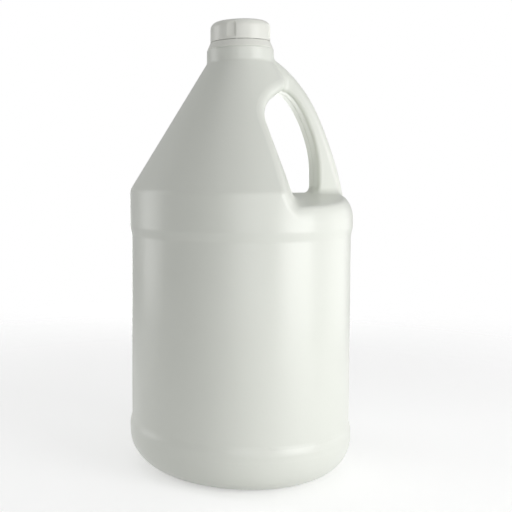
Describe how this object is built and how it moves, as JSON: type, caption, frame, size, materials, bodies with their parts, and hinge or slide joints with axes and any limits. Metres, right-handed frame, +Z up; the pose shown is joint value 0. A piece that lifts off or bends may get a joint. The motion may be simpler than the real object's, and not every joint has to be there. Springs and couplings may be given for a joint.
{
  "type": "handled plastic jug",
  "caption": "White blow-moulded round jug with cone shoulder, hollow pass-through handle, and a screw cap with a tamper band, for storing and pouring isopropyl alcohol.",
  "frame": {"origin": "centre of the standing ring, on the surface the jug stands on", "axes": "+Z up along the jug's axis, +X towards the handle, Y across the mould parting plane"},
  "size_m": [0.1544, 0.1544, 0.3095],
  "materials": {
    "hdpe_white": "satin white HDPE",
    "pp_white": "semi-gloss white PP",
    "foam_white": "matt closed-cell foam"
  },
  "bodies": {
    "jug": {"jug_body": "hdpe_white", "tamper_band": "pp_white"},
    "liner": {"cap_liner": "foam_white"},
    "cap": {"screw_cap": "pp_white"}
  },
  "joints": [
    {"name": "cap_rise", "type": "slide", "parent": "jug", "child": "liner", "axis": [0, 0, 1], "range_m": [0, 0.0128]},
    {"name": "cap_turn", "type": "hinge", "parent": "liner", "child": "cap", "pos_m": [0, 0, 0.3073], "axis": [0, 0, 1], "range_deg": [0, 1080]}
  ],
  "couplings": [
    {"joint": "cap_rise", "follows": "cap_turn", "m_per_rad": 0.00067376}
  ]
}
